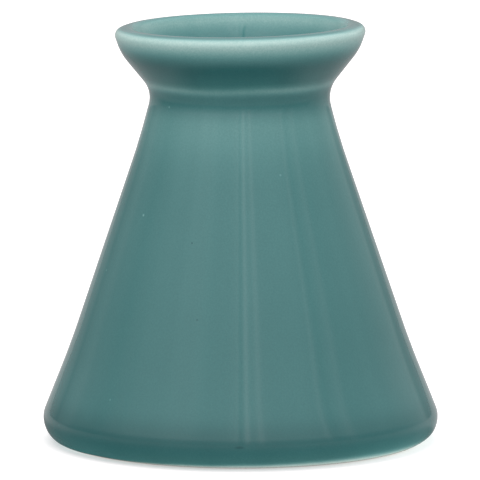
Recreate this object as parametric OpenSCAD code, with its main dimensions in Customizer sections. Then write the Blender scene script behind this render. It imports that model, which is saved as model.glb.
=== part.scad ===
// Bud vase: a conical pottery body with a pinched neck and a flared mouth, glazed inside,
// outside and in the recess under its base. The axis is Z and the vase stands on z = 0.
//
// The clay outline is a chain of straight lines whose corners are rounded by arcs. Each
// corner is [radius from the axis, height, rounding radius]. The chain runs anticlockwise
// round the clay, so its right-hand side is always outside the clay. Every glaze coat is
// the strip between a stretch of that chain and the same stretch shifted to the right.

/* [Body] */
// Height of the clay, without the glaze on its lip
clay_height = 99.6; // [99:0.1:102]
// Radius at which the line of the lower side would reach the table
base_r = 49.4; // [48.5:0.1:50.2]
// Rounding of the heel, between the foot and the side
heel_round = 5.6; // [4.5:0.1:7]
// Radius of the side where its lower flare straightens
side_r = 40.1; // [39.5:0.1:41]
// Height at which the lower flare straightens
side_z = 23.2; // [22.5:0.1:27]

/* [Neck] */
// Radius of the side where it starts to turn upright below the neck
shoulder_r = 23.4; // [22.8:0.1:24.1]
// Height of that turn
shoulder_z = 72.4; // [69:0.1:73.5]
// Radius to which the pinched neck is drawn in, before rounding
neck_r = 20.2; // [18.5:0.1:21]
// Height of the pinch
neck_z = 84.4; // [83.5:0.1:85.5]
// Rounding of the pinch
neck_round = 7.5; // [5:0.1:9]

/* [Mouth] */
// Radius of the flared mouth where its bell curve turns upright
bell_r = 28.0; // [27.6:0.1:28.6]
// Height of that turn
bell_z = 94.1; // [93.5:0.1:94.5]
// Rounding of the bell curve
bell_round = 13; // [9:0.5:14]
// Outer radius of the lip, before rounding
lip_r = 29.6; // [29.3:0.1:30.1]
// How far the outer edge of the lip lies below its crest
lip_drop = 0.75; // [0.4:0.05:0.9]

/* [Walls] */
// Thickness of the clay wall
wall_t = 4; // [3.6:0.1:4.2]
// Height of the clay floor inside
floor_z = 6.5; // [5:0.1:8]
// Rounding where the inner wall meets the floor
floor_round = 6; // [4:0.5:8]

/* [Foot] */
// Inner radius of the foot ring
foot_inner_r = 36.6; // [34:0.1:37.2]
// Depth of the recess under the base
recess_depth = 1.8; // [1.3:0.1:2.5]

/* [Glaze] */
// Thickness of every glaze coat
glaze_t = 0.4; // [0.3:0.05:0.5]
// Height above the table at which the glaze stops and the clay is bare
foot_line = 0.6; // [0.4:0.05:0.75]

/* [Hidden] */

$fn = 180;
ARC_STEP = 5;

// Gentle roundings of the long side, and small ones at the lip and the foot
SIDE_ROUND = 120;
SHOULDER_ROUND = 90;
LIP_ROUND = 1.2;
CREST_ROUND = 2.5;
FOOT_ROUND = 0.7;
RECESS_ROUND = 1.2;

// From the crest, where the outer and inner glaze coats meet, to the corner on either side
CREST_OUT = 0.6;
CREST_IN = 1;

// Width of the recess wall for each unit of its height
RECESS_SLOPE = 1;

// Middle of the foot ring, where the base and outer stretches of the chain meet
FOOT_MID_R = 39;

function place(corner) = [corner[0], corner[1]];
function along(a, b) = (place(b) - place(a)) / norm(place(b) - place(a));
function right_of(direction) = [direction[1], -direction[0]];
function turned(v, angle) = [v[0] * cos(angle) - v[1] * sin(angle), v[0] * sin(angle) + v[1] * cos(angle)];
function reversed(list) = [for (i = [len(list) - 1:-1:0]) list[i]];
function without_first(list) = [for (i = [1:len(list) - 1]) list[i]];

// Point at height z on the line through corners a and b
function at_height(a, b, z) = place(a) + (place(b) - place(a)) * (z - a[1]) / (b[1] - a[1]);

// The chain shifted by t to its right; corners that bulge to the right get rounder
function shifted(chain, t) = [
    for (i = [0:len(chain) - 1])
        let (
            last = len(chain) - 1,
            before = i == 0 ? along(chain[0], chain[1]) : along(chain[i - 1], chain[i]),
            after = i == last ? before : along(chain[i], chain[i + 1]),
            normals = right_of(before) + right_of(after),
            spot = place(chain[i]) + t * normals / (1 + before * after)
        )
        [spot[0], spot[1], chain[i][2] + t * sign(cross(before, after))]
];

// The arc that rounds one corner
function corner_arc(a, corner, b) =
    let (
        into = along(a, corner),
        out = along(corner, b),
        turn = atan2(cross(into, out), into * out),
        start = place(corner) - into * corner[2] * tan(abs(turn) / 2),
        centre = start - sign(turn) * corner[2] * right_of(into),
        steps = max(1, ceil(abs(turn) / ARC_STEP))
    )
    [for (k = [0:steps]) centre + turned(start - centre, turn * k / steps)];

// All points of a chain, with every corner but its two ends rounded
function outline(chain) = [
    place(chain[0]),
    for (i = [1:len(chain) - 2]) each corner_arc(chain[i - 1], chain[i], chain[i + 1]),
    place(chain[len(chain) - 1])
];

// Under the base: recess, then the inner edge of the foot ring
BASE_CHAIN = [
    [0, recess_depth, 0],
    [foot_inner_r - RECESS_SLOPE * recess_depth, recess_depth, RECESS_ROUND],
    [foot_inner_r, 0, FOOT_ROUND],
    [FOOT_MID_R, 0, 0]
];

// The side, from the heel to the outer edge of the lip
SIDE = [
    [base_r, 0, heel_round],
    [side_r, side_z, SIDE_ROUND],
    [shoulder_r, shoulder_z, SHOULDER_ROUND],
    [neck_r, neck_z, neck_round],
    [bell_r, bell_z, bell_round],
    [lip_r, clay_height - lip_drop, LIP_ROUND]
];

// The inner wall runs parallel to the side, from the lip down to the floor
INNER_SIDE = reversed(shifted(SIDE, -wall_t));
INNER_LAST = len(INNER_SIDE) - 1;
INNER_LIP = at_height(INNER_SIDE[0], INNER_SIDE[1], clay_height);
INNER_HEEL = at_height(INNER_SIDE[INNER_LAST], INNER_SIDE[INNER_LAST - 1], floor_z);
CREST = [INNER_LIP[0] + CREST_IN, clay_height, 0];

OUTER_CHAIN = [
    [FOOT_MID_R, 0, 0],
    each SIDE,
    [CREST[0] + CREST_OUT, clay_height, CREST_ROUND],
    CREST
];

INNER_CHAIN = [
    CREST,
    [INNER_LIP[0], INNER_LIP[1], LIP_ROUND],
    for (i = [1:INNER_LAST - 1]) INNER_SIDE[i],
    [INNER_HEEL[0], INNER_HEEL[1], floor_round],
    [0, floor_z, 0]
];

// A coat of glaze over one stretch of the clay
module coat(chain) {
    rotate_extrude()
        polygon(concat(outline(shifted(chain, glaze_t)), reversed(outline(chain))));
}

// Wipes the foot clean of glaze, up to the foot line
module wiped() {
    difference() {
        children();
        translate([0, 0, -1])
            cylinder(h = 1 + foot_line, r = base_r + 1);
    }
}

module clay_body() {
    color("#d9d2c1")
        rotate_extrude()
            polygon(concat(
                outline(BASE_CHAIN),
                without_first(outline(OUTER_CHAIN)),
                without_first(outline(INNER_CHAIN))
            ));
}

module outer_glaze() {
    color("#558484")
        wiped()
            coat(OUTER_CHAIN);
}

module inner_glaze() {
    color("#7ba3a2")
        coat(INNER_CHAIN);
}

module base_glaze() {
    color("#6a9392")
        wiped()
            coat(BASE_CHAIN);
}

clay_body();
outer_glaze();
inner_glaze();
base_glaze();
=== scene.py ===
"""A small glazed pottery bud vase in a soft light tent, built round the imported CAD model.

Lengths are metres, and MM turns millimetres into metres. The vase is a body of revolution on
the Z axis, with its front towards -Y. The clay outline is read from the CAD mesh, smoothed and
turned into the visible clay. Each glaze coat is grown from the same outline, with a thickness
of its own at every point, which the glaze material turns into colour.
"""

import math

import bpy
import numpy as np
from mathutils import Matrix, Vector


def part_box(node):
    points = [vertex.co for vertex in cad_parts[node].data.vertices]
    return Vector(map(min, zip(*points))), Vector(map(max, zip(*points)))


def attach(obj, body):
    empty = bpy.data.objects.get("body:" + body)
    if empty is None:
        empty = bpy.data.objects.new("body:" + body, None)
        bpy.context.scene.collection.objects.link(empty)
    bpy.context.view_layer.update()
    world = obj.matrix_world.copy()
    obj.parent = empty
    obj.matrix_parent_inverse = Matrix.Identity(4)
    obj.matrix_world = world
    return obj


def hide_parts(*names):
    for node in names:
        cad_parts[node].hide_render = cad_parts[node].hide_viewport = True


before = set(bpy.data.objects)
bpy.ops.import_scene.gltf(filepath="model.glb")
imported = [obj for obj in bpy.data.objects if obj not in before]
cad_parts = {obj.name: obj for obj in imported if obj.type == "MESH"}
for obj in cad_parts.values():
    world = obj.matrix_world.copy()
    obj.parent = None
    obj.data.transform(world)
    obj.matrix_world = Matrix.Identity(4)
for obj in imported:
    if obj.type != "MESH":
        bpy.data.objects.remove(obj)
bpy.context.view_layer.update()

MM = 0.001

# Angles round the vase, anticlockwise from its right, how far each one points to the right and
# to the front, and the angle of the front
SEGMENTS = 360
TURN = np.arange(SEGMENTS) * 2 * math.pi / SEGMENTS
TO_RIGHT = np.cos(TURN)
TO_FRONT = np.clip(-np.sin(TURN), 0, 1)
FRONT_DEGREES = -90

# Camera: where it stands, how far it tips down and how long its lens is
CAMERA_DISTANCE = 1.8
CAMERA_HEIGHT = 0.29848
CAMERA_SIDE = -0.00019
CAMERA_TIP = math.radians(7.915)
LENS_MM = 569.8
SENSOR_MM = 36

# How close a CAD vertex is to the plane of the section, the decimals that it keeps, and how close
# a point of the outline is to its lowest or highest height
ON_PLANE = 1e-7
DECIMALS = 6
ON_LEVEL = 1e-6

# Smoothing of the CAD outline: longest straight run that stays, rounds of corner cutting, and
# the spacing and least bend of the smooth curve
LONGEST_RUN = 8 * MM
CUT_ROUNDS = 4
FINE_STEP = 0.05 * MM
LEAST_BEND = 1e-6

# A hand-made vase is never quite true: its axis leans to the left, and its lip rises and shifts
# to the right
LEAN = -math.tan(math.radians(0.2))
LIP_TILT = math.tan(math.radians(1.0))
LIP_SHIFT = 0.20 * MM
TILT_FROM = 78 * MM
TILT_OVER = 14 * MM

# It came out of its mould a little fuller, from this radius outwards
FULLER = 0.22 * MM
FULLER_FROM = 10 * MM

# Its heel is worn softer in front, and less so towards the sides
SOFT_HEEL = 0.35 * MM
SOFT_HEEL_FROM = 42 * MM
SOFT_HEEL_Z = 5.5 * MM
SOFT_HEEL_WIDTH = 3.6 * MM
SOFT_HEEL_SPREAD = 0.6

# Glaze coats: full thickness, how deep their backs sit in the clay, and the rounding of a bare edge
FULL_COAT = 0.40 * MM
EMBED = 0.05 * MM
BEAD = 0.45 * MM

# Rings of a mesh: the least radius, how far from the axis they start, how many lie across a
# rounded edge and how they crowd towards it, and how many a coat's front has for each one of its
# hidden back
POLE_RING = 0.02 * MM
POLE_GAP = 0.2 * MM
BEAD_COUNT = 7
BEAD_CROWDING = 1.5
BEAD_RINGS = np.linspace(0, 1, BEAD_COUNT + 2)[1:-1] ** BEAD_CROWDING * BEAD
BACK_EVERY = 8
BASE_BACK_EVERY = 6
SHARP_EDGE = math.radians(60)


# ---------------------------------------------------------------- outline of the clay

def section(name):
    """Points (radius, height) of a turned CAD node, in order, from its edges in the half plane y = 0."""
    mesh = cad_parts[name].data
    spots = {}
    for vertex in mesh.vertices:
        x, y, z = vertex.co
        if abs(y) < ON_PLANE and x > -ON_PLANE:
            spots[vertex.index] = (round(x, DECIMALS), round(z, DECIMALS))
    links = {}
    for edge in mesh.edges:
        a, b = (spots.get(i) for i in edge.vertices)
        if a and b and a != b:
            links.setdefault(a, set()).add(b)
            links.setdefault(b, set()).add(a)
    ends = sorted((p for p in links if len(links[p]) == 1), key=lambda p: p[1])
    chain = [ends[0]]
    while chain[-1] != ends[-1]:
        chain.append(next(p for p in links[chain[-1]] if p not in chain[-2:]))
    return np.array(chain)


def to_axis(chain):
    """The chain with a point on the axis added at either end."""
    return np.vstack([[0, chain[0, 1]], chain, [0, chain[-1, 1]]])


def split_runs(chain, longest):
    """The same chain with its long straight runs divided."""
    points = [chain[0]]
    for a, b in zip(chain[:-1], chain[1:]):
        pieces = max(1, math.ceil(np.linalg.norm(b - a) / longest))
        points += [a + (b - a) * k / pieces for k in range(1, pieces + 1)]
    return np.array(points)


def cut_corners(chain, rounds):
    """Chaikin's corner cutting, which turns a chain into a smooth curve."""
    for _ in range(rounds):
        a, b = chain[:-1], chain[1:]
        cuts = np.stack([a * 0.75 + b * 0.25, a * 0.25 + b * 0.75], axis=1).reshape(-1, 2)
        chain = np.vstack([chain[:1], cuts, chain[-1:]])
    return chain


class Outline:
    """A curve in the (radius, height) plane, read by distance along it."""

    def __init__(self, chain):
        length = np.r_[0, np.cumsum(np.linalg.norm(np.diff(chain, axis=0), axis=1))]
        self.total = length[-1]
        self.s = np.linspace(0, self.total, int(self.total / FINE_STEP))
        self.r = np.interp(self.s, length, chain[:, 0])
        self.z = np.interp(self.s, length, chain[:, 1])
        run = np.gradient(self.r, self.s)
        rise = np.gradient(self.z, self.s)
        size = np.hypot(run, rise)
        self.out_r = rise / size
        self.out_z = -run / size
        lean = np.unwrap(np.arctan2(self.out_z, self.out_r))
        self.bend = np.abs(np.gradient(lean, self.s))

    def at(self, s):
        """Radius, height and outward direction at distance s."""
        return [np.interp(s, self.s, column) for column in (self.r, self.z, self.out_r, self.out_z)]

    def where(self, mask):
        """Distances along the curve of the points that a mask picks."""
        return self.s[mask]

    def stations(self, start, end, coarse, fine, angle):
        """Distances from start to end, coarse where the curve is straight and fine where it bends."""
        s = self.s[(self.s > start) & (self.s < end)]
        bend = np.interp(s, self.s, self.bend)
        step = np.clip(angle / np.maximum(bend, LEAST_BEND), fine, coarse)
        count = np.cumsum(FINE_STEP / step)
        wanted = np.linspace(0, count[-1], max(3, int(count[-1]) + 2))
        stations = np.interp(wanted, count, s)
        stations[0] = start
        stations[-1] = end
        return stations


clay = Outline(cut_corners(split_runs(to_axis(section("clay_body")), LONGEST_RUN), CUT_ROUNDS))

# Landmarks: a name that ends in _S is a distance along the outline, and one in _Z a height. The
# outside coat starts at FOOT_LINE, the base coat ends at RECESS_LINE, and the arris is the outer
# edge of the lip, where its side turns over into its crest.
FOOT_LINE = 0.15 * MM
RECESS_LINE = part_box("base_glaze")[0].z
ARRIS_LEAN = 0.7
CREST_S = clay.where(clay.z > clay.z.max() - ON_LEVEL).mean()
FOOT_S = clay.where(clay.z < ON_LEVEL).mean()
HEEL_S = clay.s[np.argmax(clay.r)]
rising = (clay.s > FOOT_S) & (clay.s < HEEL_S) & (clay.z > FOOT_LINE)
OUTER_START = clay.where(rising).min()
BASE_END = clay.where((clay.s < FOOT_S) & (clay.z > RECESS_LINE)).max()
outside = (clay.s > HEEL_S) & (clay.s < CREST_S)
NECK_S = clay.where(outside)[np.argmin(clay.r[outside])]
NECK_Z = np.interp(NECK_S, clay.s, clay.z)
ARRIS_S = clay.where((clay.s > NECK_S) & (clay.s < CREST_S) & (clay.out_z < ARRIS_LEAN)).max()


# ---------------------------------------------------------------- glaze thickness

# Ripples round the vase: the seed of each one, and how many waves it is made of
RIPPLES = {
    "neck depth": (3, 4),
    "neck height": (4, 6),
    "leaning runs": (5, 24),
    "upright runs": (6, 50),
    "inside": (8, 30),
    "base": (9, 12),
    "slow foot line": (11, 9),
    "quick foot line": (12, 40),
    "wiped band": (13, 30),
}

# The outside coat wanders at its foot line, and the clay's swell fades out there
SLOW_WANDER = 0.10 * MM
QUICK_WANDER = 0.05 * MM
WANDER_REACH = 3 * MM
SWELL_REACH = 1 * MM

# It is wiped thin above the foot line. The wiped band is widest at the right, and a fainter one
# reaches so many times further up.
WIPED_WIDTH = 2.7 * MM
WIPED_SWING = 1.2 * MM
WIPED_RIPPLE = 0.08 * MM
WIPED_FALL = 4
WIPED_SHARE = 0.70
FAINT_WIDTH = 2.3
FAINT_SHARE = 0.26

# It breaks thin on the side of the lip, widest at the right, and on the shelf inside the arris
LIP_WIDTH = 4.45 * MM
LIP_SWING = 0.7 * MM
LIP_FALL = 1.9
LIP_SHARE = 0.81
SHELF_WIDTH = 0.68 * MM
SHELF_SHARE = 0.76

# It breaks in a band just above the neck
NECK_BREAK_Z = NECK_Z + 4.05 * MM
NECK_BREAK_WIDTH = 1.15 * MM
NECK_BREAK_SHARE = 0.38
NECK_Z_RIPPLE = 0.15 * MM
NECK_SHARE_RIPPLE = 0.05

# It is thinner on the shoulder, and that reaches further down than up
SHOULDER_Z = NECK_Z - 4.8 * MM
SHOULDER_UP = 3.2 * MM
SHOULDER_DOWN = 8.5 * MM
SHOULDER_SHARE = 0.235

# It gathers in these bands: height of the middle, width and share of the full coat. The bands under the
# flare and round the neck are partly real gathering and partly painted shade under the flare. The bands
# round the heel and on the lower side are painted shade towards the floor, so the vase is darker towards
# the bottom.
UNDER_FLARE = (NECK_Z + 10.5 * MM, 3.2 * MM, 0.26)
ROUND_NECK = (NECK_Z + 1.2 * MM, 2 * MM, 0.06)
ROUND_HEEL = (6.8 * MM, 3.6 * MM, 0.25)
LOWER_SIDE = (20 * MM, 22 * MM, 0.09)

# Its faint vertical runs, some of them leaning
RUN_LEAN = 0.6
LEANING_RUNS = 0.006
UPRIGHT_RUNS = 0.005

# The inside coat pools on the floor, and is thin on the crest of the lip and just inside it
POOL_FROM = CREST_S + 60 * MM
POOL_WIDTH = 14 * MM
POOL_SHARE = 0.3
INSIDE_RIPPLE = 0.008
CREST_WIDTH = 1.1 * MM
CREST_SHARE = 0.95
MOUTH_FROM = 1.0 * MM
MOUTH_WIDTH = 3.7 * MM
MOUTH_SHARE = 0.68

BASE_RIPPLE = 0.02


def ripple(turn, name):
    """A smooth periodic curve round the vase, mostly between -1 and 1."""
    seed, waves = RIPPLES[name]
    draw = np.random.default_rng(seed)
    total = np.zeros_like(turn)
    for k in range(1, waves + 1):
        total = total + draw.normal() * np.cos(k * turn + draw.uniform(0, 2 * math.pi))
    return total / math.sqrt(waves)


def bell(x, centre, width):
    """A bell curve of height 1."""
    return np.exp(-((x - centre) / width) ** 2)


def band(height, middle, width, share):
    """How much a coat gathers in a band round the vase, as a share of its full thickness."""
    return share * bell(height, middle, width)


def foot_thinning(s):
    """How much of the outside coat is wiped away near its foot line, as a share."""
    from_edge = np.clip(s - OUTER_START, 0, None)
    wiped = WIPED_WIDTH + WIPED_SWING * TO_RIGHT + WIPED_RIPPLE * ripple(TURN, "wiped band")
    bare = WIPED_SHARE * np.exp(-(from_edge / wiped) ** WIPED_FALL)
    return bare + FAINT_SHARE * bell(from_edge, 0, FAINT_WIDTH * wiped)


def lip_thinning(s):
    """How much of the outside coat runs off the side of the lip and its shelf, as a share."""
    below_arris = np.clip(ARRIS_S - s, 0, None)
    above_arris = np.clip(s - ARRIS_S, 0, None)
    side = LIP_SHARE * np.exp(-(below_arris / (LIP_WIDTH + LIP_SWING * TO_RIGHT)) ** LIP_FALL)
    shelf = SHELF_SHARE * bell(above_arris, 0, SHELF_WIDTH)
    return np.where(s < ARRIS_S, side, shelf)


def neck_thinning(height):
    """How much of the outside coat runs off the edge above the neck, as a share of a full coat."""
    share = NECK_BREAK_SHARE + NECK_SHARE_RIPPLE * ripple(TURN, "neck depth")
    middle = NECK_BREAK_Z + NECK_Z_RIPPLE * ripple(TURN, "neck height")
    return share * bell(height, middle, NECK_BREAK_WIDTH)


def shoulder_thinning(height):
    """How much of the outside coat runs off the shoulder, as a share of a full coat."""
    width = np.where(height > SHOULDER_Z, SHOULDER_UP, SHOULDER_DOWN)
    return SHOULDER_SHARE * bell(height, SHOULDER_Z, width)


def outer_gathers_and_painted_shade(height):
    """How much the outside coat gathers under the flare, round the neck and towards the heel. This extra
    thickness also paints shade under the flare and near the floor.
    """
    upper = band(height, *UNDER_FLARE) + band(height, *ROUND_NECK)
    lower_side = band(np.maximum(height, LOWER_SIDE[0]), *LOWER_SIDE)
    return upper + band(height, *ROUND_HEEL) + lower_side


def outer_runs(s):
    """Faint vertical runs in the outside coat, as a share of its thickness."""
    height = np.interp(s, clay.s, clay.z)
    leaning = LEANING_RUNS * ripple(TURN + height * RUN_LEAN, "leaning runs")
    return leaning + UPRIGHT_RUNS * ripple(TURN, "upright runs")


def outer_surface(s):
    """Height of the outside coat's surface above the CAD clay."""
    return FULL_COAT * (1 - foot_thinning(s)) * (1 + outer_runs(s))


def outer_thickness(s):
    """Thickness of the outside coat, which also carries painted shade under the flare and near the floor.
    """
    height = np.interp(s, clay.s, clay.z)
    # The gathers also paint shade: the coat is thicker and darker under the flare and towards the heel
    flow_and_painted_shade = 1 + outer_gathers_and_painted_shade(height) - shoulder_thinning(height) + outer_runs(s)
    left = flow_and_painted_shade * (1 - lip_thinning(s)) * (1 - foot_thinning(s))
    return FULL_COAT * (left - neck_thinning(height))


def inner_surface(s):
    """Height of the inside coat's surface above the CAD clay."""
    radius = np.interp(s, clay.s, clay.r)
    pool = np.where(s > POOL_FROM, POOL_SHARE * bell(radius, 0, POOL_WIDTH), 0)
    return FULL_COAT * (1 + pool + INSIDE_RIPPLE * ripple(TURN, "inside"))


def inner_thickness(s):
    """Thickness of the inside coat."""
    past = np.clip(s - CREST_S, 0, None)
    on_crest = CREST_SHARE * bell(past, 0, CREST_WIDTH)
    inside_mouth = MOUTH_SHARE * bell(past, MOUTH_FROM, MOUTH_WIDTH)
    return inner_surface(s) - FULL_COAT * inside_mouth * (1 - on_crest)


def base_thickness():
    """Thickness of the coat in the recess under the base, round the vase."""
    return FULL_COAT * (1 + BASE_RIPPLE * ripple(TURN, "base"))


def clay_swell(s):
    """How far the clay stands out from the CAD clay, where the glaze over it is thinner."""
    outer = outer_surface(s) - outer_thickness(s)
    inner = inner_surface(s) - inner_thickness(s)
    glazed = np.clip((s - OUTER_START) / SWELL_REACH, 0, 1)
    return np.where(s > CREST_S, inner, outer * glazed)


# ---------------------------------------------------------------- meshes

def revolve(name, rings, loop):
    """A closed mesh from rings of points. loop joins the last ring to the first; otherwise both
    ends are closed at a point on the axis."""
    count = len(rings)
    points = rings.reshape(-1, 3)
    i = np.arange(count if loop else count - 1)[:, None]
    j = np.arange(SEGMENTS)[None, :]
    here = i * SEGMENTS
    there = ((i + 1) % count) * SEGMENTS
    following = (j + 1) % SEGMENTS
    corners = [here + j, here + following, there + following, there + j]
    quads = np.stack(corners, axis=-1).reshape(-1, 4)
    faces = [tuple(int(v) for v in quad) for quad in quads]
    if not loop:
        poles = np.array([[0, 0, rings[0, :, 2].mean()], [0, 0, rings[-1, :, 2].mean()]])
        points = np.vstack([points, poles])
        first_pole = len(points) - 2
        last_ring = (count - 1) * SEGMENTS
        for k in range(SEGMENTS):
            n = (k + 1) % SEGMENTS
            faces.append((first_pole, n, k))
            faces.append((first_pole + 1, last_ring + k, last_ring + n))
    mesh = bpy.data.meshes.new(name)
    mesh.from_pydata([tuple(p) for p in points], [], faces)
    mesh.validate()
    mesh.update()
    mesh.shade_smooth()
    mesh.set_sharp_from_angle(angle=SHARP_EDGE)
    piece = bpy.data.objects.new(name, mesh)
    bpy.context.scene.collection.objects.link(piece)
    return piece


def ring_points(s, offset):
    """Rings of points at distances s along the clay outline, moved outwards by offset."""
    r, z, out_r, out_z = clay.at(s)
    r = np.maximum(r + out_r * offset, POLE_RING)
    r = r + FULLER * np.clip(r / FULLER_FROM, 0, 1)
    z = z + out_z * offset
    worn = TO_FRONT ** SOFT_HEEL_SPREAD * bell(z, SOFT_HEEL_Z, SOFT_HEEL_WIDTH)
    r = r - SOFT_HEEL * worn * (r > SOFT_HEEL_FROM)
    x = r * np.cos(TURN)
    y = r * np.sin(TURN)
    high = np.clip((z - TILT_FROM) / TILT_OVER, 0, 1)
    high = high * high * (3 - 2 * high)
    return np.stack([x + z * LEAN + LIP_SHIFT * high, y, z + x * LIP_TILT * high], axis=-1)


def edge_bead(distance):
    """Rounds a coat down to nothing at its bare edge."""
    u = np.clip(distance / BEAD, 0, 1)
    return np.sqrt(np.clip(1 - (1 - u) ** 2, 0, 1))


def store_thickness(piece, values):
    """Keeps the coat's thickness in millimetres on the mesh, for the material."""
    attribute = piece.data.attributes.new("coat_mm", "FLOAT", "POINT")
    padded = np.full(len(piece.data.vertices), values.mean(), np.float32)
    padded[: values.size] = values.ravel()
    attribute.data.foreach_set("value", padded / MM)


def build_clay():
    """The fired clay, inside all three coats."""
    s = clay.stations(POLE_GAP, clay.total - POLE_GAP,
                      coarse=1.5 * MM, fine=0.12 * MM, angle=math.radians(6))[:, None]
    return revolve("clay", ring_points(s, clay_swell(s)), loop=False)


def build_outer():
    """The outside coat, from its wavy foot line to the crest of the lip."""
    s = clay.stations(OUTER_START, CREST_S, coarse=0.9 * MM, fine=0.25 * MM, angle=math.radians(2.2))
    s = np.unique(np.r_[s, OUTER_START + BEAD_RINGS])[:, None]
    wander = SLOW_WANDER * ripple(TURN, "slow foot line") + QUICK_WANDER * ripple(TURN, "quick foot line")
    fade = np.clip(1 - (s - OUTER_START) / WANDER_REACH, 0, 1)
    along = s + wander * fade
    bead = edge_bead(s - OUTER_START)
    thickness = outer_thickness(along) * bead
    back = along[::-BACK_EVERY]
    front_rings = ring_points(along, outer_surface(along) * bead)
    back_rings = ring_points(back, clay_swell(back) - EMBED)
    piece = revolve("outer_coat", np.vstack([front_rings, back_rings]), loop=True)
    store_thickness(piece, np.vstack([thickness, thickness[::-BACK_EVERY]]))
    return piece


def build_inner():
    """The inside coat, from the crest of the lip over the floor."""
    s = clay.stations(CREST_S, clay.total - POLE_GAP,
                      coarse=1.1 * MM, fine=0.25 * MM, angle=math.radians(3))[:, None]
    thickness = inner_thickness(s)
    back = s[::-BACK_EVERY]
    back_rings = ring_points(back, clay_swell(back) - EMBED)
    front_rings = ring_points(s, inner_surface(s))
    piece = revolve("inner_coat", np.vstack([back_rings, front_rings]), loop=False)
    store_thickness(piece, np.vstack([thickness[::-BACK_EVERY], thickness]))
    return piece


def build_base():
    """The coat in the recess, inside the bare foot ring."""
    s = clay.stations(POLE_GAP, BASE_END, coarse=1.5 * MM, fine=0.15 * MM, angle=math.radians(6))
    s = np.unique(np.r_[s, BASE_END - BEAD_RINGS])[:, None]
    thickness = base_thickness() * edge_bead(BASE_END - s)
    back = s[::-BASE_BACK_EVERY]
    rings = np.vstack([ring_points(s, thickness), ring_points(back, -EMBED)])
    piece = revolve("base_coat", rings, loop=False)
    store_thickness(piece, np.vstack([thickness, np.full((len(back), SEGMENTS), FULL_COAT)]))
    return piece


# ---------------------------------------------------------------- node helpers

class Graph:
    """Short names for building a node tree."""

    def __init__(self, tree):
        self.tree = tree
        tree.nodes.clear()

    def node(self, kind, inputs=(), **settings):
        """A node with its inputs set, or linked where a value is a socket."""
        made = self.tree.nodes.new(kind)
        for key, value in settings.items():
            setattr(made, key, value)
        for key, value in dict(inputs).items():
            if isinstance(value, bpy.types.NodeSocket):
                self.tree.links.new(value, made.inputs[key])
            else:
                made.inputs[key].default_value = value
        return made

    def math(self, operation, *values):
        """The result of a Math node."""
        return self.node("ShaderNodeMath", enumerate(values), operation=operation).outputs[0]

    def vector(self, operation, *values):
        """The vector and the value that come out of a Vector Math node."""
        return self.node("ShaderNodeVectorMath", enumerate(values), operation=operation).outputs

    def total(self, first, *others):
        """All the values added up."""
        for other in others:
            first = self.math("ADD", first, other)
        return first

    def product(self, first, *others):
        """All the values multiplied."""
        for other in others:
            first = self.math("MULTIPLY", first, other)
        return first

    def remainder(self, share):
        """What is left of 1."""
        return self.math("SUBTRACT", 1.0, share)

    def choose(self, flag, if_set, otherwise):
        """One value where the flag is 1, and another where it is 0."""
        return self.node("ShaderNodeMix", {0: flag, 2: otherwise, 3: if_set}).outputs[0]

    def bell(self, value, centre, width):
        """A bell curve of height 1."""
        offset = self.math("DIVIDE", self.math("SUBTRACT", value, centre), width)
        return self.math("EXPONENT", self.product(offset, offset, -1.0))

    def smooth(self, value, low, high, to_low=0.0, to_high=1.0):
        """A smooth step from to_low to to_high as value goes from low to high."""
        made = self.node("ShaderNodeMapRange", {0: value, 1: low, 2: high, 3: to_low, 4: to_high},
                         interpolation_type="SMOOTHSTEP")
        return made.outputs[0]

    def profile(self, value, stops):
        """The level at a value, along straight lines through (place, level) stops."""
        low, high = stops[0][0], stops[-1][0]
        peak = max(level for _, level in stops)
        share = self.node("ShaderNodeMapRange", {0: value, 1: low, 2: high}).outputs[0]
        ramp = self.node("ShaderNodeValToRGB", {0: share})
        elements = ramp.color_ramp.elements
        while len(elements) < len(stops):
            elements.new(0.5)
        for element, (place, level) in zip(elements, stops):
            grey = level / peak
            element.position = (place - low) / (high - low)
            element.color = (grey, grey, grey, 1)
        return self.product(ramp.outputs[0], peak)

    def noise(self, place, scale, detail):
        """Soft noise between 0 and 1, of so many waves to the metre."""
        inputs = {"Vector": place, "Scale": scale, "Detail": detail}
        return self.node("ShaderNodeTexNoise", inputs).outputs["Fac"]

    def swing(self, place, scale, detail, size):
        """Noise round 0, of the size given."""
        return self.product(self.math("SUBTRACT", self.noise(place, scale, detail), 0.5), size)

    def bump(self, height, strength, distance):
        """The surface's direction, tilted by the slopes of a height."""
        inputs = {"Height": height, "Strength": strength, "Distance": distance}
        return self.node("ShaderNodeBump", inputs).outputs[0]


# ---------------------------------------------------------------- materials

# What is left of red, green and blue light after 1 mm of glaze and back, and the clay under it
GLAZE_PER_MM = (0.0011, 0.0213, 0.0253)
CLAY_UNDER = (0.82, 0.93, 0.87)

# The glaze's grain and clouds change its thickness, in millimetres. Its grain gets stronger as
# the coat thins from the first to the second of THIN_MM. Orange peel is a faint bump.
GRAIN_SCALE = 2500
GRAIN_MM = 0.06
MORE_GRAIN_MM = 0.03
THIN_MM = (0.38, 0.15)
CLOUD_SCALE = 90
CLOUD_MM = 0.02
GLAZE_DETAIL = 2
PEEL_SCALE = 260
PEEL_STRENGTH = 0.05
PEEL_DEPTH = 0.2 * MM
GLAZE_ROUGHNESS = 0.07
GLAZE_IOR = 1.5

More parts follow.
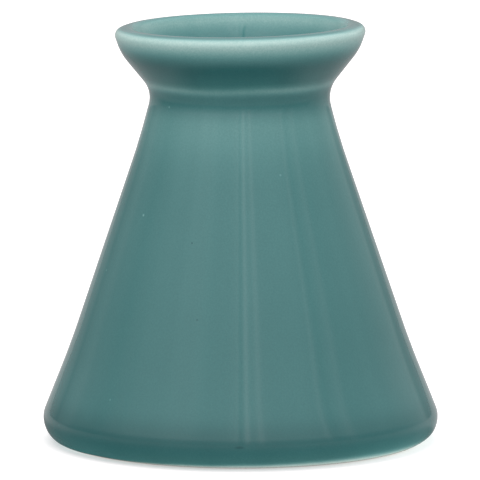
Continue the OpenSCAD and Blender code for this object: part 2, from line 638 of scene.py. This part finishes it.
# Flaws in the outside coat: degrees to the right of the front, height, radius and change of
# thickness in mm, and how many times wider than high
SPECKS = [
    (-51.1, 56.7, 0.45, -0.16, 1),
    (-50.7, 81.9, 0.40, -0.12, 1),
    (-68.7, 42.7, 0.35, -0.12, 1),
    (-44.1, 14.6, 0.35, -0.10, 1),
    (-66.5, 6.5, 0.35, -0.14, 1),
    (-45.8, 7.1, 0.30, 0.10, 1),
    (-21.3, 51.5, 0.30, 0.14, 1),
    (-15.9, 34.2, 0.35, 0.10, 1),
    (21.7, 67.0, 0.40, -0.08, 1),
    (-0.4, 5.7, 0.60, 0.20, 3.6),
    (112.0, 38.0, 0.40, -0.12, 1),
    (150.0, 62.0, 0.35, 0.10, 1),
    (-128.0, 25.0, 0.40, -0.10, 1),
]
# Share of a speck's radius inside which its change is full
SPECK_CORE = 0.3

# Bare clay: its two tones, their patches, its sand and its roughness
CLAY_DARK = (0.66, 0.60, 0.48, 1)
CLAY_PALE = (0.78, 0.74, 0.64, 1)
PATCH_SCALE = 120
PATCH_DETAIL = 3
SAND_SCALE = 1800
SAND_DETAIL = 4
SAND_STRENGTH = 0.4
SAND_DEPTH = 0.1 * MM
CLAY_ROUGHNESS = 0.85


def new_material(name):
    """An empty material, and the graph of its nodes."""
    material = bpy.data.materials.new(name)
    material.use_nodes = True
    return material, Graph(material.node_tree)


def on_outside(degrees, height):
    """The point of the outside coat at so many degrees to the right of the front."""
    outer = (clay.s > OUTER_START) & (clay.s < NECK_S)
    radius = np.interp(height, clay.z[outer], clay.r[outer]) + FULL_COAT + FULLER
    turn = math.radians(FRONT_DEGREES + degrees)
    return radius * math.cos(turn) + height * LEAN, radius * math.sin(turn), height


def add_specks(g, place, coat, specks):
    """Changes the coat's thickness at each speck."""
    for degrees, height, size, change, stretch in specks:
        offset = g.vector("SUBTRACT", place, on_outside(degrees, height * MM))[0]
        offset = g.vector("MULTIPLY", offset, (1 / stretch, 1, 1))[0]
        gap = g.vector("LENGTH", offset)["Value"]
        edge = size * MM
        coat = g.total(coat, g.smooth(gap, edge, edge * SPECK_CORE, 0.0, change))
    return coat


def glaze_material(name, specks):
    """Glossy, translucent glaze: its colour is the clay seen through the coat's thickness."""
    material, g = new_material(name)
    place = g.node("ShaderNodeTexCoord").outputs["Object"]
    # The coat's thickness also carries painted shade: a thicker, darker coat under the flare and towards
    # the heel
    coat = g.node("ShaderNodeAttribute", attribute_name="coat_mm").outputs["Fac"]
    coat = add_specks(g, place, coat, specks)
    grain_mm = g.total(g.product(g.smooth(coat, *THIN_MM), MORE_GRAIN_MM), GRAIN_MM)
    grain = g.swing(place, GRAIN_SCALE, GLAZE_DETAIL, grain_mm)
    cloud = g.swing(place, CLOUD_SCALE, GLAZE_DETAIL, CLOUD_MM)
    depth = g.math("MAXIMUM", g.total(coat, grain, cloud), 0.0)
    channels = [
        g.product(g.math("POWER", left, depth), under)
        for left, under in zip(GLAZE_PER_MM, CLAY_UNDER)
    ]
    shader = g.node("ShaderNodeBsdfPrincipled", {
        "Base Color": g.node("ShaderNodeCombineColor", enumerate(channels)).outputs[0],
        "Roughness": GLAZE_ROUGHNESS,
        "IOR": GLAZE_IOR,
        "Normal": g.bump(g.noise(place, PEEL_SCALE, GLAZE_DETAIL), PEEL_STRENGTH, PEEL_DEPTH),
    })
    g.node("ShaderNodeOutputMaterial", {0: shader.outputs[0]})
    return material


def clay_material():
    """Bare fired clay, cream and finely sandy."""
    material, g = new_material("bare_clay")
    place = g.node("ShaderNodeTexCoord").outputs["Object"]
    patches = g.noise(place, PATCH_SCALE, PATCH_DETAIL)
    tone = g.node("ShaderNodeMix", {0: patches, 6: CLAY_DARK, 7: CLAY_PALE}, data_type="RGBA")
    shader = g.node("ShaderNodeBsdfPrincipled", {
        "Base Color": tone.outputs[2],
        "Roughness": CLAY_ROUGHNESS,
        "Normal": g.bump(g.noise(place, SAND_SCALE, SAND_DETAIL), SAND_STRENGTH, SAND_DEPTH),
    })
    g.node("ShaderNodeOutputMaterial", {0: shader.outputs[0]})
    return material


# ---------------------------------------------------------------- light tent

# Light of the tent by height above the horizon, in degrees
TENT_BY_HEIGHT = [
    (-20, 0.4), (-10, 0.5), (0, 0.62), (8, 0.75), (14, 1.05),
    (20, 1.2), (36, 1.25), (48, 1.30), (62, 1.48), (90, 1.52),
]
# Brightness of its panels by direction, in degrees from behind the camera round to the right
TENT_PANELS = [
    (-180, 0.80), (-152, 0.74), (-142, 0.64), (-138, 0.49), (-135, 0.66), (-122, 0.88),
    (-116, 0.76), (-100, 0.76), (-94, 0.76), (-84, 0.99), (-70, 1.20), (-50, 1.36),
    (-43, 1.45), (-33, 1.46), (-25, 1.30), (-10, 1.31), (10, 1.40), (22, 1.26),
    (47, 1.22), (57, 1.00), (63, 1.04), (75, 0.93), (98, 0.94), (104, 0.89),
    (126, 1.05), (138, 1.12), (143, 0.64), (158, 0.70), (180, 0.80),
]
# Bright and dark seams between the panels: direction, half width, gain
TENT_SEAMS = [
    (-79, 1.3, -0.08), (-5, 3.0, 0.08), (-2.2, 0.9, 0.2), (0.4, 1.2, -0.2), (4.0, 1.4, 0.55),
    (12.4, 2.4, 0.33), (53.5, 2.2, 0.33), (60, 2.0, -0.10), (69.5, 3.5, 0.28),
]
# Heights between which the panels merge into one ceiling
CEILING = (60, 85)

# A dark gap between two panels over the camera, which the far inside wall mirrors. It starts
# between the first two heights, and its place and width along X change between the next two.
# Towards the back it fades out along Y.
GAP_START = (35, 42)
GAP_HEIGHTS = (35, 60)
GAP_PLACE = (-0.105, -0.060)
GAP_WIDTH = (0.026, 0.018)
GAP_FADE = (0.2, 0.1)

# How much brighter it is above and behind the vase, and how that sets in by height and along Y
BACK_LIGHT = 0.5
BACK_LIGHT_HEIGHTS = (30, 50)
BACK_LIGHT_ALONG = (-0.1, 0.5)

# How bright its white looks to the camera
TENT_SEEN = 1.0


def panel_light(g, turn, height):
    """Brightness of the tent's panels and of the seams between them, up to the plain ceiling."""
    light = g.profile(turn, TENT_PANELS)
    for centre, width, gain in TENT_SEAMS:
        light = g.product(light, g.total(g.product(g.bell(turn, centre, width), gain), 1.0))
    ceiling = g.smooth(height, *CEILING)
    return g.total(g.product(light, g.remainder(ceiling)), ceiling)


def gap_shade(g, x, y, height):
    """How dark the gap over the camera is."""
    place = g.smooth(height, *GAP_HEIGHTS, *GAP_PLACE)
    width = g.smooth(height, *GAP_HEIGHTS, *GAP_WIDTH)
    depth = g.product(g.smooth(height, *GAP_START), g.smooth(y, *GAP_FADE))
    return g.product(g.bell(x, place, width), depth)


def light_tent():
    """Soft light from all round."""
    world = bpy.data.worlds.new("light_tent")
    bpy.context.scene.world = world
    world.use_nodes = True
    g = Graph(world.node_tree)
    direction = g.node("ShaderNodeTexCoord").outputs["Generated"]
    x, y, z = g.node("ShaderNodeSeparateXYZ", {0: direction}).outputs
    turn = g.math("DEGREES", g.math("ARCTAN2", x, g.product(y, -1.0)))
    height = g.math("DEGREES", g.math("ARCSINE", z))
    back_light = g.product(g.smooth(height, *BACK_LIGHT_HEIGHTS),
                           g.smooth(y, *BACK_LIGHT_ALONG, 0.0, BACK_LIGHT))
    level = g.product(
        g.profile(height, TENT_BY_HEIGHT),
        panel_light(g, turn, height),
        g.total(back_light, 1.0),
        g.remainder(gap_shade(g, x, y, height)),
    )
    for_camera = g.node("ShaderNodeLightPath").outputs["Is Camera Ray"]
    background = g.node("ShaderNodeBackground", {"Strength": g.choose(for_camera, TENT_SEEN, level)})
    g.node("ShaderNodeOutputWorld", {0: background.outputs[0]})


# ---------------------------------------------------------------- floor

# Half the floor's width, its tint and its roughness
FLOOR_HALF = 9
FLOOR_TINT = (1.04, 0.98, 0.99)
FLOOR_ROUGHNESS = 0.35

# The floor's tone in bounced light, in the glaze's reflections and to the camera, and its sheen
# in all but the last
FLOOR_TONE = 0.20
FLOOR_TONE_MIRRORED = 0.10
FLOOR_TONE_SEEN = 0.60
FLOOR_SHEEN = 0.5

# Sides of the floor: where a change from left to right begins and ends, as a cosine
SIDES = (-0.8, 0.8)

# Its glow in bounced light: everywhere, only a share of it under the heel, and more close to the
# foot and beside the vase, with the distances from the axis and the gains from left to right
GLOW = 0.24
UNDER_HEEL = (41 * MM, 44 * MM)
UNDER_HEEL_SHARE = 0.2
GLOW_AT_FOOT = 0.35
AT_FOOT = (49 * MM, 45 * MM)
AT_FOOT_GAIN = (0.8, 1.3)
GLOW_BESIDE = 0.45
BESIDE = (80 * MM, 55 * MM)
BESIDE_GAIN = (0.7, 1.0)
BESIDE_SPREAD = (0.4, 1.0)

# Its glow in the glaze's reflections: round the vase, and behind it a little to the right
MIRRORED_ROUND = 0.30
ROUND_FAR = (500 * MM, 250 * MM)
ROUND_NEAR = (45 * MM, 85 * MM)
MIRRORED_BEHIND = (0.30, 0.25)
BEHIND = (60 * MM, 200 * MM)
BEHIND_DIRECTION = (0.22, 0.98)
BEHIND_SPREAD = (0.2, 0.5)

# Its glow to the camera, low at the heel and full further out, which is wider at the sides. Near the heel
# this glow paints the heel's contact shadow on the floor.
GLOW_SEEN = (0.24, 0.75)
SHADOW = (41 * MM, 54 * MM)
SHADOW_WIDER = 2 * MM


def bounced_glow(g, reach, rightward):
    """The floor's glow in bounced light."""
    at_foot = g.product(g.smooth(reach, *AT_FOOT), g.smooth(rightward, *SIDES, *AT_FOOT_GAIN))
    to_side = g.smooth(g.math("ABSOLUTE", rightward), *BESIDE_SPREAD)
    beside = g.product(to_side, g.smooth(reach, *BESIDE), g.smooth(rightward, *SIDES, *BESIDE_GAIN))
    glow = g.total(g.product(at_foot, GLOW_AT_FOOT), g.product(beside, GLOW_BESIDE), GLOW)
    return g.product(glow, g.smooth(reach, *UNDER_HEEL, UNDER_HEEL_SHARE, 1.0))


def mirrored_glow(g, reach, rightward, backward):
    """The floor's glow in the glaze's reflections."""
    around = g.product(g.smooth(reach, *ROUND_FAR, 0.0, MIRRORED_ROUND), g.smooth(reach, *ROUND_NEAR))
    right_share, back_share = BEHIND_DIRECTION
    behind = g.total(g.product(rightward, right_share), g.product(backward, back_share))
    behind = g.product(g.smooth(reach, *BEHIND, *MIRRORED_BEHIND), g.smooth(behind, *BEHIND_SPREAD))
    return g.math("MAXIMUM", around, behind)


def seen_glow(g, reach, rightward):
    """The floor's glow to the camera, dim near the heel to paint its contact shadow."""
    beyond = g.total(reach, g.product(rightward, rightward, SHADOW_WIDER))
    return g.smooth(beyond, *SHADOW, *GLOW_SEEN)


def floor_material():
    """White to the camera, and a duller cloth to the glaze."""
    material, g = new_material("floor")
    rays = g.node("ShaderNodeLightPath").outputs
    for_camera, for_gloss = rays["Is Camera Ray"], rays["Is Glossy Ray"]
    place = g.node("ShaderNodeTexCoord").outputs["Object"]
    reach = g.vector("LENGTH", place)["Value"]
    x, y, _ = g.node("ShaderNodeSeparateXYZ", {0: place}).outputs
    rightward = g.math("DIVIDE", x, reach)
    backward = g.math("DIVIDE", y, reach)
    tone = g.choose(for_camera, FLOOR_TONE_SEEN, g.choose(for_gloss, FLOOR_TONE_MIRRORED, FLOOR_TONE))
    mirrored = mirrored_glow(g, reach, rightward, backward)
    unseen = g.choose(for_gloss, mirrored, bounced_glow(g, reach, rightward))
    channels = [g.product(tone, share) for share in FLOOR_TINT]
    shader = g.node("ShaderNodeBsdfPrincipled", {
        "Base Color": g.node("ShaderNodeCombineColor", enumerate(channels)).outputs[0],
        "Roughness": FLOOR_ROUGHNESS,
        "Specular IOR Level": g.choose(for_camera, 0.0, FLOOR_SHEEN),
        "Emission Color": (1, 1, 1, 1),
        # To the camera the glow is dimmer near the heel, which paints the contact shadow
        "Emission Strength": g.choose(for_camera, seen_glow(g, reach, rightward), unseen),
    })
    g.node("ShaderNodeOutputMaterial", {0: shader.outputs[0]})
    return material


def build_floor():
    """A plain pale floor under the vase."""
    half = FLOOR_HALF
    corners = [(-half, -half, 0), (half, -half, 0), (half, half, 0), (-half, half, 0)]
    mesh = bpy.data.meshes.new("floor")
    mesh.from_pydata(corners, [], [(0, 1, 2, 3)])
    sheet = bpy.data.objects.new("floor", mesh)
    bpy.context.scene.collection.objects.link(sheet)
    mesh.materials.append(floor_material())


# ---------------------------------------------------------------- camera

def build_camera():
    """The camera stands in front of the vase and looks slightly down."""
    data = bpy.data.cameras.new("camera")
    data.lens = LENS_MM
    data.sensor_width = SENSOR_MM
    camera = bpy.data.objects.new("camera", data)
    camera.location = (CAMERA_SIDE, -CAMERA_DISTANCE, CAMERA_HEIGHT)
    camera.rotation_euler = (math.pi / 2 - CAMERA_TIP, 0, 0)
    bpy.context.scene.collection.objects.link(camera)
    bpy.context.scene.camera = camera


# ---------------------------------------------------------------- the scene

bpy.context.scene.view_settings.view_transform = "Standard"
build_camera()
light_tent()
build_floor()

outer_material = glaze_material("teal_glaze", SPECKS)
inner_material = glaze_material("pale_teal_glaze", [])
PIECES = [
    (build_clay, "clay_body", "clay", clay_material()),
    (build_outer, "outer_glaze", "teal_glaze", outer_material),
    (build_inner, "inner_glaze", "pale_teal_glaze", inner_material),
    (build_base, "base_glaze", "teal_glaze", outer_material),
]
for build, replaced, slot, material in PIECES:
    piece = build()
    piece.data.materials.append(material)
    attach(piece, "root")
    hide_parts(replaced)
